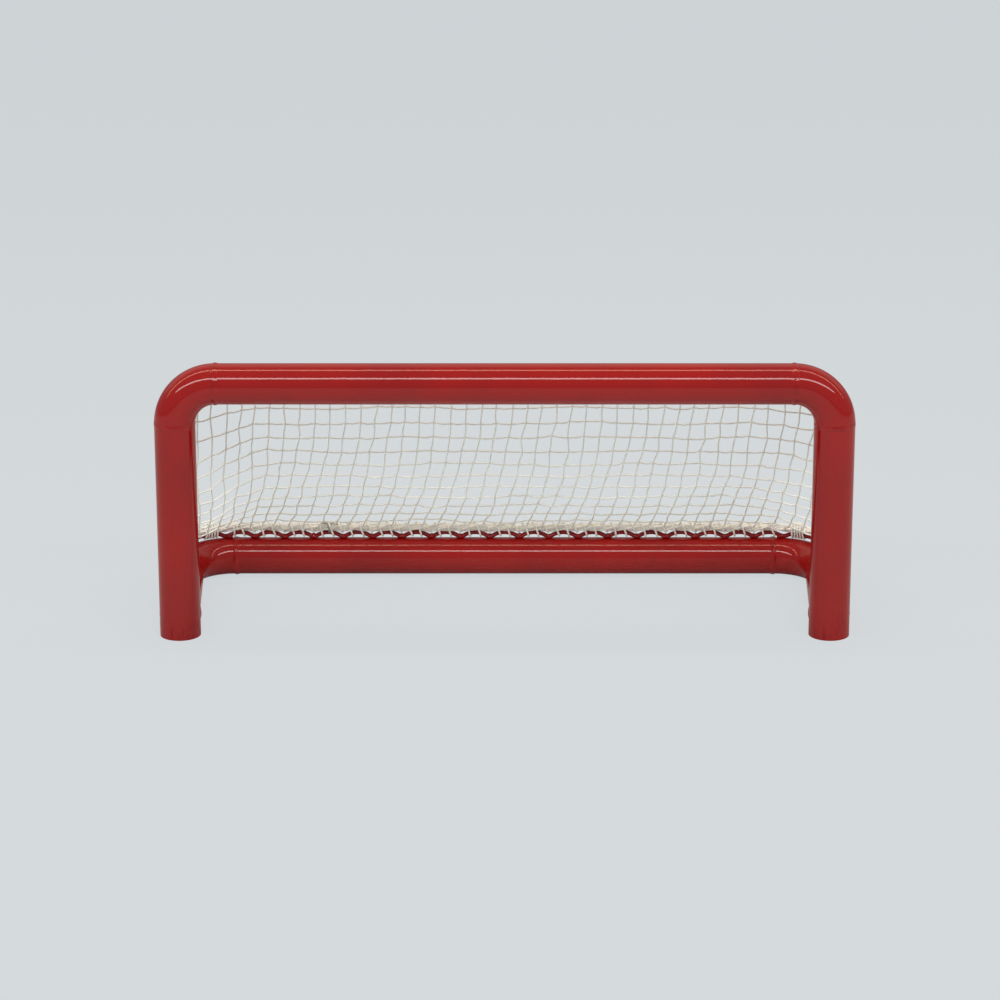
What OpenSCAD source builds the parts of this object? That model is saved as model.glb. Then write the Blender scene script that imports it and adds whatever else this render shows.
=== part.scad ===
// Low steel practice goal for ice hockey: a welded front frame, a U-shaped base on the ice,
// bent lacing rods welded along the tubes, and a one-piece knotted net laced to those rods.
// Millimetres. The origin is on the ground, in the middle of the goal's footprint.
// -Y is the side the puck comes from, +X is the goal's right as seen from there, +Z is up.

/* [Front frame] */
// Overall width over the two posts
goal_w = 914.4; // [760:0.1:1300]
// Overall height, ground to the top of the crossbar
goal_h = 372; // [300:1:620]
// Outer diameter of the posts, crossbar and top elbows
front_tube_d = 54; // [42:0.1:66]
// Wall of the front tubes
front_wall = 2.5; // [1.5:0.1:4]
// Centreline radius of the top elbows
top_elbow_r = 54; // [44:1:90]

/* [Base] */
// Depth from the posts' axis to the rear tube's axis
base_depth = 254; // [200:1:500]
// Outer diameter of the base tubes
base_tube_d = 50.8; // [38:0.1:62]
// Wall of the base tubes
base_wall = 2.5; // [1.5:0.1:4]
// How far each side tube leans outwards on its way to the rear
base_flare = 12; // [2:1:40]
// Centreline radius of the rear elbows
rear_elbow_r = 66; // [54:1:90]

/* [Lacing rods] */
// Diameter of the bent rod that the net is laced to
rod_d = 6; // [4:0.1:8]
// Wanted length of one hump of the rod
hump_pitch = 40.8; // [34:0.1:60]
// Rise of a hump above the rod's seats on the tube
hump_rise = 5.6; // [5:0.1:12]
// Centreline radius of the bend at each seat
seat_bend_r = 10; // [7:0.5:12]
// How far the straight rods run on over the rear elbows
rod_overrun = 14.7; // [4:0.1:20]

/* [Welds] */
// Width of a butt weld's bead
weld_w = 7; // [4:0.5:10]
// Height of the bead above the tube
weld_h = 1.2; // [0.6:0.1:2]
// Leg of the fillet weld where a side tube meets its post
fillet_leg = 4; // [2:0.5:6]

/* [Net] */
// Thickness of the net's twine
twine_d = 2.4; // [1.6:0.1:3.6]
// Wanted height of a mesh, measured down the net
mesh_h = 27; // [18:0.5:50]
// How far the net's back bellies inwards of a straight line
net_sag = 28; // [12:1:45]
// Radius of the net's rounded rear corners
net_corner_r = 84; // [60:1:110]
// Thickness of the rope along the net's edges, with the edge twines gathered round it
rope_d = 9; // [4:0.1:12]
// Thickness of the cord that laces the rope to the rods
lace_d = 2.5; // [1.5:0.1:3.5]
// Turns of cord in each corner tie
tie_turns = 5; // [3:1:7]
// Angle round a rear elbow between the first and the last turn of its tie
tie_a = 24; // [18:1:40]

/* [Clearances] */
// Gap between cords, twine and what they bear on
cord_gap = 0.3; // [0.1:0.05:0.6]
// Gap between a weld's bead and the tubes under it
bead_gap = 0.15; // [0.05:0.05:0.3]

/* [Hidden] */
$fn = 48;

RED = [0.60, 0.10, 0.08];
ROD_RED = [0.52, 0.12, 0.12];
TWINE = [0.82, 0.80, 0.72];
CREAM = [0.90, 0.85, 0.74];

// ---- Frame ----
front_r = front_tube_d / 2;
base_r = base_tube_d / 2;
post_x = goal_w / 2 - front_r;
post_y = -(base_depth + base_r - front_r) / 2;
rear_y = post_y + base_depth;
bar_z = goal_h - front_r;
post_top = bar_z - top_elbow_r;
bar_half = post_x - top_elbow_r;

// A side tube runs from its post's axis to the rear corner, turned outwards by this angle
flare = atan(base_flare / base_depth);
side_len = base_depth / cos(flare);
rear_bend = 90 + flare;
rear_tangent = rear_elbow_r * tan(rear_bend / 2);
rear_half = post_x + base_flare - rear_tangent;
side_end = side_len - rear_tangent;

// ---- Lacing rods ----
rod_r = rod_d / 2;
// Straight stub at a rod's ends, so that they meet square
rod_flat = 0.8;
// A corner rod rises, and again falls, over a stretch this many times its rise
ramp_per_rise = 3.5;
// The rear corners' rods and the rope over them bend tighter than the tube under them
rod_bend_r = rear_elbow_r - rod_overrun / tan(rear_bend / 2);
rod_bend_len = rod_bend_r * rear_bend * PI / 180;
rod_half = rear_half + rod_overrun;
rod_side_end = side_end + rod_overrun;
// These rods rise only far enough for the cord to pass under them, over this part of the bend
low_rise = lace_d + 2 * cord_gap;
low_ramp = (rod_flat + ramp_per_rise * low_rise) / rod_bend_len;
rear_humps = round(2 * rod_half / hump_pitch);
pitch = 2 * rod_half / rear_humps;
bar_humps = floor(2 * bar_half / pitch);
side_start = front_r + fillet_leg + 2 * rod_d;
side_humps = max(1, round((rod_side_end - side_start) / pitch));
side_pitch = (rod_side_end - side_start) / side_humps;
post_start = base_tube_d + 6 * rod_d;
post_humps = max(1, round((post_top - post_start) / pitch));
post_pitch = (post_top - post_start) / post_humps;

// ---- Net ----
rope_r = rope_d / 2;
// Height of the rope's centre above the tube that its rod stands on
rope_lift = rod_d + hump_rise + cord_gap + rope_r;
front_rope_u = front_r + rope_lift;
front_rope_y = post_y + front_rope_u * cos(flare);
front_rope_x = post_x + front_rope_u * sin(flare);
base_rope_z = base_tube_d + rope_lift;
// The front rope rounds each top corner on this radius, about a centre at this height
rope_bend_r = front_rope_x - bar_half;
rope_bend_z = bar_z - rope_bend_r;
// How far out the front rope is at the height z
function rope_x(z) = z <= rope_bend_z ? front_rope_x
    : bar_half + sqrt(rope_bend_r * rope_bend_r - (z - rope_bend_z) * (z - rope_bend_z));

// The back of the net is an arc in the YZ plane, from the top rope to the base rope
chord = [rear_y - front_rope_y, base_rope_z - bar_z];
chord_len = norm(chord);
inward = [chord[1], -chord[0]] / chord_len;
net_r = (chord_len * chord_len / 4 + net_sag * net_sag) / (2 * net_sag);
net_mid = [(front_rope_y + rear_y) / 2, (bar_z + base_rope_z) / 2];
net_c = net_mid + inward * (net_sag - net_r);
top_a = atan2(bar_z - net_c[1], front_rope_y - net_c[0]);
low_a = atan2(base_rope_z - net_c[1], rear_y - net_c[0]);
trim_a = (rope_r + cord_gap) / net_r * 180 / PI;
rows = round((low_a - top_a) * PI / 180 * net_r / mesh_h) - 1;
row_step = (low_a - top_a) / (rows + 1);
strand_step = twine_d + cord_gap;
row_r = net_r - strand_step;

function row_a(k) = top_a + k * row_step;
function row_y(k) = net_c[0] + row_r * cos(row_a(k));
function row_z(k) = net_c[1] + row_r * sin(row_a(k));
// A row's side panel stands over the side tube, or further in where the rope rounds its corner
function row_shift(k) = rope_x(row_z(k)) - front_rope_x;
// Where a row's back, extended, would meet its side
function row_corner_x(k) = post_x + row_shift(k) + (row_y(k) - post_y) * tan(flare);
function row_side_len(k) = (row_y(k) - front_rope_y) / cos(flare);
function row_bend_r(k) = min(net_corner_r, (row_side_len(k) - rope_r - cord_gap) / tan(rear_bend / 2));
function row_tangent(k) = row_bend_r(k) * tan(rear_bend / 2);
function row_half(k) = row_corner_x(k) - row_tangent(k);
function row_side_end(k) = front_rope_u + row_side_len(k) - row_tangent(k);

columns = 2 * floor(max([for (k = [1:rows]) row_half(k)]) / (pitch / 2) + 0.5);
function column_x(j) = (j - (columns - 1) / 2) * pitch / 2;
// A column hangs from the top rope or, over the elbows, from row 1. It ends at the last row before
// the first that bends away from it, or at the base rope
function column_start_a(x) = abs(x) <= bar_half ? top_a + trim_a : row_a(1);
function column_end_a(x, k = 1) = k > rows ? (abs(x) <= rod_half ? low_a - trim_a : row_a(rows))
    : row_half(k) < abs(x) ? row_a(k - 1) : column_end_a(x, k + 1);

// The side net's columns are the back's arc again, each half a hump further forward. They stop
// clear of the turns of cord round the two ropes, this far behind the post and above the ground
side_front_u = front_rope_u + rope_r + lace_d + 2 * cord_gap + twine_d / 2;
side_low_z = base_rope_z + rope_r + lace_d + 2 * cord_gap + twine_d / 2;
side_low_a = asin((net_c[1] - side_low_z) / net_r);
side_c = front_rope_u + (net_c[0] - front_rope_y) / cos(flare) - net_corner_r * tan(rear_bend / 2);
side_columns = floor((side_c - net_r * cos(side_low_a) - side_front_u) / (pitch / 2));

// ---- Shared shapes ----
module tube(d, wall, len) {
    difference() {
        cylinder(d = d, h = len);
        translate([0, 0, -1]) cylinder(d = d - 2 * wall, h = len + 2);
    }
}

// A bent tube in the XY plane round the origin, from the angle start
module bent_tube(d, wall, r, start, sweep) {
    rotate([0, 0, start]) rotate_extrude(angle = sweep) translate([r, 0]) difference() {
        circle(d = d);
        circle(d = d - 2 * wall);
    }
}

module bent_bar(d, r, start, sweep) {
    rotate([0, 0, start]) rotate_extrude(angle = sweep) translate([r, 0]) circle(d = d);
}

// A bar swept along a path of points. No stretch of the path may run along the direction up
module swept_bar(d, path, up, sides) {
    last = len(path) - 1;
    points = [for (i = [0:last])
        let (t = path[min(i + 1, last)] - path[max(i - 1, 0)],
             across = cross(t, up) / norm(cross(t, up)),
             over = cross(across, t) / norm(t))
        for (k = [0:sides - 1]) let (a = 360 * k / sides)
            path[i] + d / 2 * (across * cos(a) + over * sin(a))];
    walls = [for (i = [0:last - 1], k = [0:sides - 1])
        let (n = (k + 1) % sides)
        [i * sides + k, (i + 1) * sides + k, (i + 1) * sides + n, i * sides + n]];
    ends = [[for (k = [0:sides - 1]) k], [for (k = [sides - 1:-1:0]) last * sides + k]];
    polyhedron(points, concat(walls, ends));
}

// Points on an arc in the XY plane, at the height z
function arc(c, r, from, to, steps, z = 0) = [for (i = [0:steps])
    let (a = from + (to - from) * i / steps) [c[0] + r * cos(a), c[1] + r * sin(a), z]];

// A straight bar from p to q
module strand(p, q, d) {
    v = q - p;
    translate(p) rotate([0, acos(v[2] / norm(v)), atan2(v[1], v[0])]) cylinder(d = d, h = norm(v));
}

module right_and_left(side) {
    if (side > 0) children();
    else mirror([1, 0, 0]) children();
}

// Places its children over a side tube: +X runs along it to the rear, +Z stays up,
// and the origin is on the post's axis at the ground
module on_side_tube() {
    translate([post_x, post_y, 0]) rotate([0, 0, 90 - flare]) children();
}

// Places its children behind a post: +X runs up it and +Z points to the rear
module behind_post() {
    translate([post_x, post_y, 0]) rotate([0, 0, -90 - flare]) rotate([0, -90, 0]) children();
}

// The top elbow's frame: the XY plane is the plane of the bend, seen from the front
module at_top_elbow() {
    translate([bar_half, post_y, post_top]) rotate([90, 0, 0]) children();
}

// The same bend from behind: the XY plane touches the back of the elbow, and +Z points to the rear
module behind_top_elbow() {
    translate([bar_half, post_y + front_r, post_top]) rotate([-90, 0, 0]) children();
}

module at_rear_elbow() {
    translate([rear_half, rear_y - rear_elbow_r, 0]) children();
}

// The rods' and the rope's bend over the rear elbow: the XY plane touches the top of the tube
module over_rear_elbow() {
    translate([rod_half, rear_y - rod_bend_r, base_tube_d]) children();
}

// ---- Front frame ----
module crossbar() {
    color(RED) translate([-bar_half, post_y, bar_z]) rotate([0, 90, 0])
        tube(front_tube_d, front_wall, 2 * bar_half);
}

module post(side) {
    color(RED) right_and_left(side) translate([post_x, post_y, 0])
        tube(front_tube_d, front_wall, post_top);
}

module top_elbow(side) {
    color(RED) right_and_left(side) at_top_elbow()
        bent_tube(front_tube_d, front_wall, top_elbow_r, 0, 90);
}

// ---- Base ----
module rear_base_tube() {
    color(RED) translate([-rear_half, rear_y, base_r]) rotate([0, 90, 0])
        tube(base_tube_d, base_wall, 2 * rear_half);
}

// The side tube's front end is coped to the post
module base_tube(side) {
    color(RED) right_and_left(side) difference() {
        on_side_tube() translate([0, 0, base_r]) rotate([0, 90, 0])
            tube(base_tube_d, base_wall, side_end);
        translate([post_x, post_y, -1]) cylinder(r = front_r, h = base_tube_d + 2);
    }
}

module rear_elbow(side) {
    color(RED) right_and_left(side) at_rear_elbow() translate([0, 0, base_r])
        bent_tube(base_tube_d, base_wall, rear_elbow_r, -flare, rear_bend);
}

// ---- Welds ----
// A ring-shaped bead round the Z axis, notched where the lacing rod crosses it in +X.
// One on a base tube is ground away on the other side, where it would touch the floor
module bead(d, on_floor = false) {
    bead_r = (weld_w * weld_w / 4 + weld_h * weld_h) / (2 * weld_h);
    notch = rod_d + 2 * cord_gap;
    difference() {
        rotate_extrude() difference() {
            translate([d / 2 + weld_h - bead_r, 0]) circle(r = bead_r);
            translate([-weld_w, -weld_w]) square([d / 2 + bead_gap + weld_w, 2 * weld_w]);
        }
        translate([0, -notch / 2, -weld_w]) cube([d, notch, 2 * weld_w]);
        if (on_floor) translate([-d, -d / 2, -weld_w]) cube([d / 2 + weld_h, d, 2 * weld_w]);
    }
}

module top_elbow_welds() {
    color(RED) for (side = [1, -1]) right_and_left(side) {
        translate([bar_half, post_y, bar_z]) rotate([90, 0, 90]) bead(front_tube_d);
        translate([post_x, post_y, post_top]) rotate([0, 0, 90 - flare]) bead(front_tube_d);
    }
}

module rear_elbow_welds() {
    color(RED) for (side = [1, -1]) right_and_left(side) {
        translate([rear_half, rear_y, base_r]) rotate([0, -90, 0]) bead(base_tube_d, true);
        on_side_tube() translate([side_end, 0, base_r]) rotate([0, -90, 0]) bead(base_tube_d, true);
    }
}

// The fillet follows the coped joint, and stops just above the ground
module foot_welds() {
    color(RED) for (side = [1, -1]) right_and_left(side) intersection() {
        on_side_tube() translate([0, 0, base_r]) rotate([0, 90, 0])
            tube(base_tube_d + 2 * weld_h, weld_h - bead_gap, front_r + 2 * fillet_leg);
        translate([post_x, post_y, weld_h])
            tube(2 * (front_r + fillet_leg), fillet_leg - bead_gap, base_tube_d + weld_h);
    }
}

// ---- Lacing rods ----
// Both bends of a hump turn by this angle, and the crown's radius follows from the seat's
function bend_a(length) = 2 * atan(hump_rise / (length / 2));
function crown_bend_r(length) = length / 2 / sin(bend_a(length)) - seat_bend_r;

// The rod's centreline, in the XY plane with +Y away from the tube: seat, crown, seat, crown ...
function humps_path(humps, length) = let (a = bend_a(length), crown_r = crown_bend_r(length)) concat(
    [[0, 0, 0], [rod_flat, 0, 0]],
    [for (k = [0:humps - 1]) each concat(
        arc([k * length, seat_bend_r], seat_bend_r, 270 + a / 2, 270 + a, 1),
        arc([(k + 0.5) * length, hump_rise - crown_r], crown_r, 90 + a / 2, 90 - a / 2, 2),
        arc([(k + 1) * length, seat_bend_r], seat_bend_r, 270 - a, 270 - a / 2, 1),
        [[(k + 1) * length - (k < humps - 1 ? 0 : rod_flat), 0, 0]])],
    [[humps * length, 0, 0]]);

// A row of humps along +X from the origin, standing on the plane Z = 0
module humped_rod(humps, length) {
    translate([0, 0, rod_r]) rotate([90, 0, 0])
        swept_bar(rod_d, humps_path(humps, length), [0, 0, 1], 10);
}

// One long hump that follows a bend of the tube, standing on the XY plane
module corner_rod(r, start, sweep, rise) {
    steps = 21;
    bend_len = r * abs(sweep) * PI / 180;
    flat = rod_flat / bend_len;
    ramp = ramp_per_rise * rise / bend_len;
    path = [for (t = [0, flat, each [for (i = [1:steps - 1]) i / steps], 1 - flat, 1])
        let (a = start + sweep * t, risen = max(0, min(1, (min(t, 1 - t) - flat) / ramp)))
        [r * cos(a), r * sin(a), rod_r + rise * (1 - cos(180 * risen)) / 2]];
    swept_bar(rod_d, path, [0, 0, 1], 10);
}

module crossbar_lacing_rod() {
    color(ROD_RED) translate([-bar_humps * pitch / 2, post_y + front_r, bar_z]) rotate([-90, 0, 0])
        humped_rod(bar_humps, pitch);
}

module post_lacing_rod(side) {
    color(ROD_RED) right_and_left(side) behind_post() translate([post_start, 0, front_r])
        humped_rod(post_humps, post_pitch);
}

module top_corner_rod(side) {
    color(ROD_RED) right_and_left(side) behind_top_elbow() corner_rod(top_elbow_r, 0, -90, hump_rise);
}

module rear_lacing_rod() {
    color(ROD_RED) translate([-rod_half, rear_y, base_tube_d]) humped_rod(rear_humps, pitch);
}

module base_lacing_rod(side) {
    color(ROD_RED) right_and_left(side) on_side_tube() translate([side_start, 0, base_tube_d])
        humped_rod(side_humps, side_pitch);
}

module rear_corner_rod(side) {
    color(ROD_RED) right_and_left(side) over_rear_elbow()
        corner_rod(rod_bend_r, -flare, rear_bend, low_rise);
}

// ---- Net ----
module net_back() {
    color(TWINE) {
        for (k = [1:rows])
            strand([-row_half(k), row_y(k), row_z(k)], [row_half(k), row_y(k), row_z(k)], twine_d);
        for (j = [0:columns - 1]) {
            x = column_x(j);
            sweep = column_end_a(x) - column_start_a(x);
            if (sweep > trim_a) translate([x, net_c[0], net_c[1]]) rotate([90, 0, 90])
                bent_bar(twine_d, net_r, column_start_a(x), sweep);
        }
    }
}

module net_side(side) {
    rope_u = front_rope_u + rope_r + cord_gap;
    color(TWINE) right_and_left(side) {
        for (k = [1:rows]) if (row_side_end(k) > rope_u + cord_gap)
            translate([row_shift(k), 0, 0]) on_side_tube()
                strand([rope_u, 0, row_z(k)], [row_side_end(k), 0, row_z(k)], twine_d);
        for (m = [0:1:side_columns - 1]) on_side_tube() {
            c = side_c - (m + 0.5) * pitch / 2;
            front_a = acos((c - side_front_u) / net_r);
            translate([c, strand_step, net_c[1]]) rotate([90, 0, 0])
                bent_bar(twine_d, net_r, front_a - 180, side_low_a - front_a);
        }
    }
}

// A point just inside row k's bend, at an angle from the side towards the back. The net's
// inner side faces level at the side panel, and more and more downwards on the way to the back
function bend_point(k, a) = let (down = sin(row_a(k)) * sin(a),
    r = row_bend_r(k) - strand_step * sqrt(1 - down * down))
    [row_half(k) + r * cos(a), row_y(k) - row_bend_r(k) + r * sin(a), row_z(k) + strand_step * down];
// Columns of the bend's own, below the first row that is wide enough for them
corner_columns = floor(net_corner_r * rear_bend * PI / 180 / (pitch / 2)) - 1;
first_full_row = min([for (k = [1:rows]) if (row_bend_r(k) > net_corner_r / 2) k]);

module net_corner(side) {
    color(TWINE) right_and_left(side) {
        for (k = [1:rows]) translate([row_half(k), row_y(k) - row_bend_r(k), row_z(k)])
            bent_bar(twine_d, row_bend_r(k), -flare, rear_bend);
        for (i = [1:1:corner_columns], k = [first_full_row:1:rows - 1]) {
            a = -flare + rear_bend * i / (corner_columns + 1);
            p = bend_point(k, a);
            q = bend_point(k + 1, a);
            step = (q - p) / norm(q - p) * cord_gap;
            strand(p + step, q - step, twine_d);
        }
    }
}

// ---- Border ropes ----
// Up one post, along the crossbar and down the other post
module front_border_rope() {
    low_z = base_rope_z + rope_r + cord_gap;
    half = concat([[front_rope_x, low_z, 0]], arc([bar_half, rope_bend_z], rope_bend_r, 0, 90, 6));
    color(CREAM) translate([0, front_rope_y, 0]) rotate([90, 0, 0])
        swept_bar(rope_d, both_sides(half), [0, 0, 1], 12);
}

// The base rope starts to sink this part of a bend's length before its corner
corner_lead = 0.15;
// A point of the base rope's right half. t runs from 0 to 1 round the rear corner, and a little
// before and after it along the straights. The rope sinks there towards the lower rod
function corner_point(t) = let (a = -flare + rear_bend * max(0, min(1, t)),
    before = min(0, t) * rod_bend_len,
    after = max(0, t - 1) * rod_bend_len,
    sunk = max(0, min(1, (min(t, 1 - t) + corner_lead) / (corner_lead + low_ramp))))
    [rod_half + rod_bend_r * cos(a) + before * sin(flare) - after,
     rear_y - rod_bend_r * (1 - sin(a)) + before * cos(flare),
     -(hump_rise - low_rise) * (1 - cos(180 * sunk)) / 2];

// Round the base from post to post, over the rods
module base_border_rope() {
    steps = 20;
    half = concat([[front_rope_x, front_rope_y, 0]],
        [for (i = [0:steps]) corner_point((1 + 2 * corner_lead) * i / steps - corner_lead)]);
    color(CREAM) translate([0, 0, base_rope_z]) swept_bar(rope_d, both_sides(half), [0, 0, 1], 12);
}

// A path up to the middle of the goal, followed by its mirror image
function both_sides(half) = concat(half,
    [for (i = [len(half) - 1:-1:0]) [-half[i][0], half[i][1], half[i][2]]]);

// ---- Lacing ----
// One turn of cord round the rod and the rope; drop is how far the rod lies below its crown there
module turn(drop) {
    span = rod_d + cord_gap + rope_d + drop;
    translate([0, 0, hump_rise - drop + span / 2]) rotate([0, 90, 0]) rotate_extrude()
        translate([span / 2 + cord_gap + lace_d / 2, 0]) circle(d = lace_d);
}

// Two turns on each hump, this many cords either side of its crown. One that would meet a twine
// that ends at an entry of taken moves towards the crown
turn_spread = 2.4;
module turns(humps, length, taken = []) {
    crown_r = crown_bend_r(length);
    keep = (lace_d + twine_d) / 2 + cord_gap;
    for (k = [0:humps - 1], s = [-1, 1]) {
        crown_x = (k + 0.5) * length;
        wanted_x = crown_x + s * turn_spread * lace_d;
        near = [for (t = taken) if (abs(wanted_x - t) < keep) t];
        x = len(near) == 0 ? wanted_x : near[0] - s * keep;
        drop = crown_r - sqrt(crown_r * crown_r - (x - crown_x) * (x - crown_x));
        translate([x, 0, 0]) turn(drop);
    }
}

module crossbar_lacing_cord() {
    color(CREAM) translate([-bar_humps * pitch / 2, post_y + front_r, bar_z]) rotate([-90, 0, 0])
        turns(bar_humps, pitch);
}

module post_lacing_cord(side) {
    color(CREAM) right_and_left(side) behind_post() translate([post_start, 0, front_r])
        turns(post_humps, post_pitch, [for (k = [1:rows]) row_z(k) - post_start]);
}

module rear_lacing_cord() {
    color(CREAM) translate([-rod_half, rear_y, base_tube_d]) turns(rear_humps, pitch);
}

module base_lacing_cord(side) {
    color(CREAM) right_and_left(side) on_side_tube() translate([side_start, 0, base_tube_d])
        turns(side_humps, side_pitch);
}

// Turns of cord at these angles of a bend, round a corner rod of this rise and the rope on it
module tie(r, rise, angles) {
    for (a = angles) rotate([0, 0, a]) translate([r, 0, rise - hump_rise]) rotate([0, 0, 90]) turn(0);
}

// Angle between two turns that lie side by side on the inside of a bend
function side_by_side_a(r) = let (turn_r = (rod_d + cord_gap + rope_d) / 2 + cord_gap + lace_d)
    (lace_d + cord_gap) / (r - turn_r) * 180 / PI;

module top_tie(side) {
    color(CREAM) right_and_left(side) behind_top_elbow()
        tie(top_elbow_r, hump_rise, [for (s = [-0.5, 0.5]) -45 + s * side_by_side_a(top_elbow_r)]);
}

// The first turn is as near the rear tube as the rod leaves room for the cord under it
module rear_tie(side) {
    first = 90 - low_ramp * rear_bend;
    step = max(side_by_side_a(rod_bend_r), tie_a / (tie_turns - 1));
    color(CREAM) right_and_left(side) over_rear_elbow()
        tie(rod_bend_r, low_rise, [for (k = [0:tie_turns - 1]) first - k * step]);
}

crossbar();
post(-1);  // left_post
post(1);  // right_post
top_elbow(-1);  // left_top_elbow
top_elbow(1);  // right_top_elbow
rear_base_tube();
base_tube(-1);  // left_base_tube
base_tube(1);  // right_base_tube
rear_elbow(-1);  // left_rear_elbow
rear_elbow(1);  // right_rear_elbow
top_elbow_welds();
rear_elbow_welds();
foot_welds();
crossbar_lacing_rod();
post_lacing_rod(-1);  // left_post_lacing_rod
post_lacing_rod(1);  // right_post_lacing_rod
top_corner_rod(-1);  // left_top_corner_rod
top_corner_rod(1);  // right_top_corner_rod
rear_lacing_rod();
base_lacing_rod(-1);  // left_base_lacing_rod
base_lacing_rod(1);  // right_base_lacing_rod
rear_corner_rod(-1);  // left_rear_corner_rod
rear_corner_rod(1);  // right_rear_corner_rod
net_back();
net_side(-1);  // net_left_side
net_side(1);  // net_right_side
net_corner(-1);  // net_left_corner
net_corner(1);  // net_right_corner
front_border_rope();
base_border_rope();
crossbar_lacing_cord();
post_lacing_cord(-1);  // left_post_lacing_cord
post_lacing_cord(1);  // right_post_lacing_cord
rear_lacing_cord();
base_lacing_cord(-1);  // left_base_lacing_cord
base_lacing_cord(1);  // right_base_lacing_cord
top_tie(-1);  // left_top_tie
top_tie(1);  // right_top_tie
rear_tie(-1);  // left_rear_tie
rear_tie(1);  // right_rear_tie
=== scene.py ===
import math
import random

import bpy
import numpy as np
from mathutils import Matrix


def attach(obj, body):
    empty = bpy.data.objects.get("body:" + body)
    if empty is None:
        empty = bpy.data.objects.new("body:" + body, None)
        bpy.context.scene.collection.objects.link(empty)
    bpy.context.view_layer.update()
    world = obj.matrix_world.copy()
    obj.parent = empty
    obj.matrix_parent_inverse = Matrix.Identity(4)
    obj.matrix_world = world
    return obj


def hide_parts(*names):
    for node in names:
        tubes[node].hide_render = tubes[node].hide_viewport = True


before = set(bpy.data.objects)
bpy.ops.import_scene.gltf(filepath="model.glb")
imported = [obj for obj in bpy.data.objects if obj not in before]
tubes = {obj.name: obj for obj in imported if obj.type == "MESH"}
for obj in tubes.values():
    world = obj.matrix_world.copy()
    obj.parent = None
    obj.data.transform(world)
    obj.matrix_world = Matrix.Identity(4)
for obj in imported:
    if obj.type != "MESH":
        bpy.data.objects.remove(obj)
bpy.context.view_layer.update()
MM = 0.001

# ---- The room ----
# The goal stands on a wide pale floor. One long lamp hangs over it, a wider one in front of it
# and a faint broad one behind it, as in a workshop, and the pale room fills in the shade.
PALE = (0.651, 0.687, 0.708, 1)
FLOOR_SIZE, FLOOR_GLOW = 60, 0.9
ROOM_LIGHT = 0.56
LAMP_LENGTH, AIM_HEIGHT = 9, 0.2


class Shade:
    """A socket of a shader node. A sum or product of shades makes the Math nodes for it."""

    def __init__(self, finish, socket):
        self.finish, self.socket = finish, socket

    def maths(self, operation, *values):
        return self.finish.node("Math", {"operation": operation}, dict(enumerate(values)))

    def sine(self):
        return self.maths("SINE", self)

    def __add__(self, other):
        return self.maths("ADD", self, other)

    def __radd__(self, other):
        return self.maths("ADD", other, self)

    def __sub__(self, other):
        return self.maths("SUBTRACT", self, other)

    def __rsub__(self, other):
        return self.maths("SUBTRACT", other, self)

    def __mul__(self, other):
        return self.maths("MULTIPLY", self, other)

    def __rmul__(self, other):
        return self.maths("MULTIPLY", other, self)

    def __gt__(self, other):
        return self.maths("GREATER_THAN", self, other)


class Finish:
    """A material, built node by node."""

    def __init__(self, owner):
        owner.use_nodes = True
        self.owner, self.tree = owner, owner.node_tree
        self.tree.nodes.clear()

    def node(self, kind, settings=None, sockets=None, out=0):
        made = self.tree.nodes.new("ShaderNode" + kind)
        for key, value in (settings or {}).items():
            setattr(made, key, value)
        for key, value in (sockets or {}).items():
            if isinstance(value, Shade):
                self.tree.links.new(value.socket, made.inputs[key])
            else:
                made.inputs[key].default_value = value
        return Shade(self, made.outputs[out]) if made.outputs else self.owner

    def mix(self, factor, low, high):
        return self.node("Mix", {"data_type": "RGBA"}, {0: factor, 6: low, 7: high}, out=2)

    def noise(self, place, scale, detail=2.0, roughness=0.5):
        sockets = {"Vector": place, "Scale": scale, "Detail": detail, "Roughness": roughness}
        return self.node("TexNoise", None, sockets)

    def between(self, value, low, high):
        """0 below low, 1 above high, and smooth in between."""
        settings = {"interpolation_type": "SMOOTHSTEP"}
        sockets = {"Value": value, "From Min": low, "From Max": high}
        return self.node("MapRange", settings, sockets)

    def close(self, surface, kind="OutputMaterial"):
        return self.node(kind, None, {"Surface": surface})


# Camera rays see the floor mostly at its own colour, so that it stays plain and keeps a soft shadow
floor_finish = Finish(bpy.data.materials.new("floor"))
seen = floor_finish.node("LightPath", out="Is Camera Ray")
glow = floor_finish.node("Emission", None, {"Color": PALE})
matt = floor_finish.node("BsdfDiffuse", None, {"Color": PALE})
floor_material = floor_finish.close(
    floor_finish.node("MixShader", None, {0: seen * FLOOR_GLOW, 1: matt, 2: glow}))
bpy.ops.mesh.primitive_plane_add(size=FLOOR_SIZE)
floor = bpy.context.object
floor.name = "floor"
floor.data.materials.append(floor_material)

# The world is seen at full strength, so that the horizon is as pale as the floor, but it lights the
# goal at ROOM_LIGHT only
world = bpy.data.worlds.new("room")
bpy.context.scene.world = world
room = Finish(world)
in_view = room.node("LightPath", out="Is Camera Ray")
strength = ROOM_LIGHT + in_view * (1 - ROOM_LIGHT)
room.close(room.node("Background", None, {"Color": PALE, "Strength": strength}), "OutputWorld")


def lamp(name, place, width, power, colour):
    """A long soft lamp along X that faces the goal."""
    data = bpy.data.lights.new(name, "AREA")
    data.shape, data.size, data.size_y = "RECTANGLE", LAMP_LENGTH, width
    data.energy, data.color = power, colour
    held = bpy.data.objects.new(name, data)
    bpy.context.scene.collection.objects.link(held)
    held.location = place
    held.rotation_euler = (-math.atan2(place[1], place[2] - AIM_HEIGHT), 0, 0)
    held.visible_camera = False


lamp("overhead_lamp", (0, -0.004, 1.5), 0.12, 27, (1, 0.78, 0.55))
lamp("front_lamp", (0, -2.3, 2.5), 0.4, 130, (1, 0.97, 0.95))
lamp("rear_lamp", (0, 1.7, 1.9), 1.6, 24, (1, 0.80, 0.60))

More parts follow.
